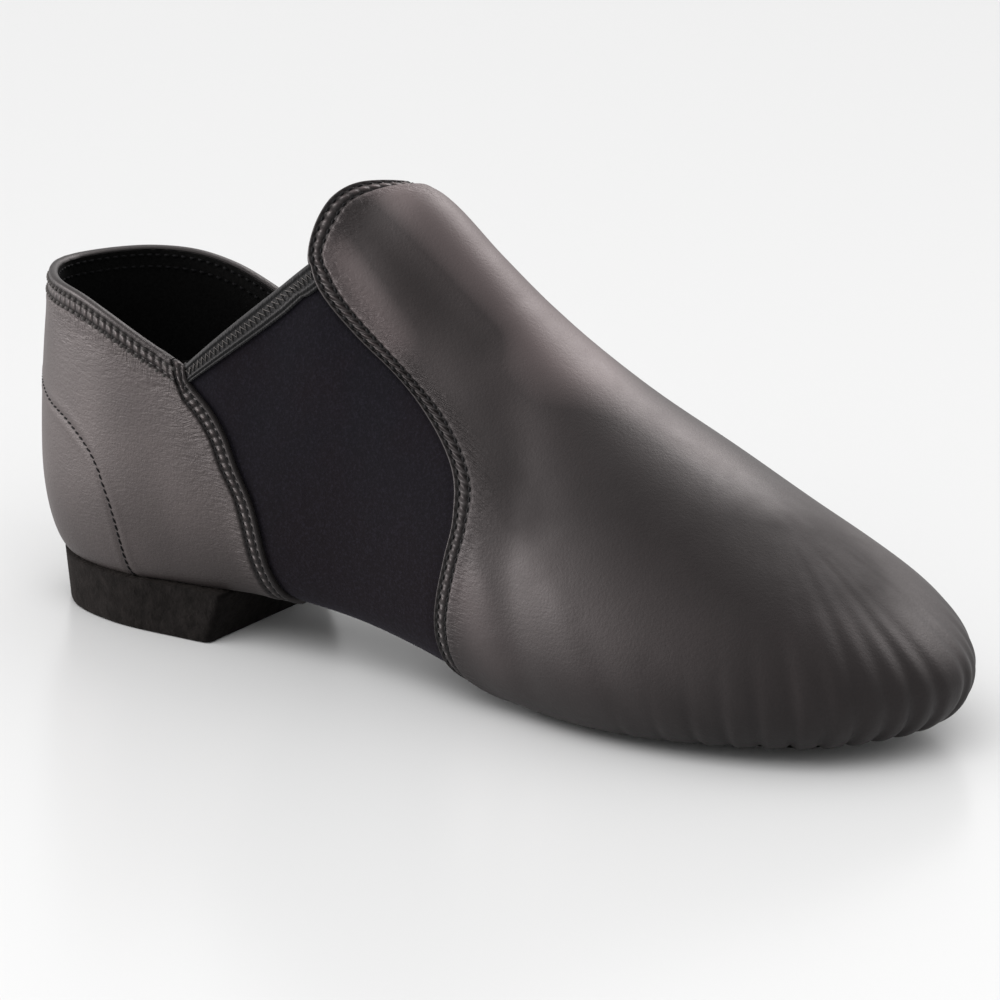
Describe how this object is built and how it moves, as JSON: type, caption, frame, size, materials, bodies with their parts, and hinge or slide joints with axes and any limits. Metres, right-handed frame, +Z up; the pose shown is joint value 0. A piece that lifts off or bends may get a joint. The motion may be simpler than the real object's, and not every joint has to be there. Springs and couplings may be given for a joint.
{
  "type": "jazz shoe",
  "caption": "Black leather slip-on jazz dance shoe with stretch side gores, rounded tongue, low block heel and a separate forefoot sole patch.",
  "frame": {"origin": "on the floor, under the middle of the shoe's bounding box", "axes": "+X from heel to toe, +Y towards the inner side of the foot, +Z up"},
  "size_m": [0.25, 0.083, 0.1125],
  "materials": {
    "leather": "soft black nappa leather, satin, with a smooth stretch gore on each side",
    "lining": "black brushed cloth",
    "suede_sole": "matt dark sueded sole and heel",
    "elastic": "black woven elastic, matt"
  },
  "bodies": {
    "root": {"upper": "leather", "insole": "lining", "forefoot_sole": "suede_sole", "heel": "suede_sole", "gore_binding_outer": "elastic", "gore_binding_inner": "elastic"}
  },
  "joints": []
}
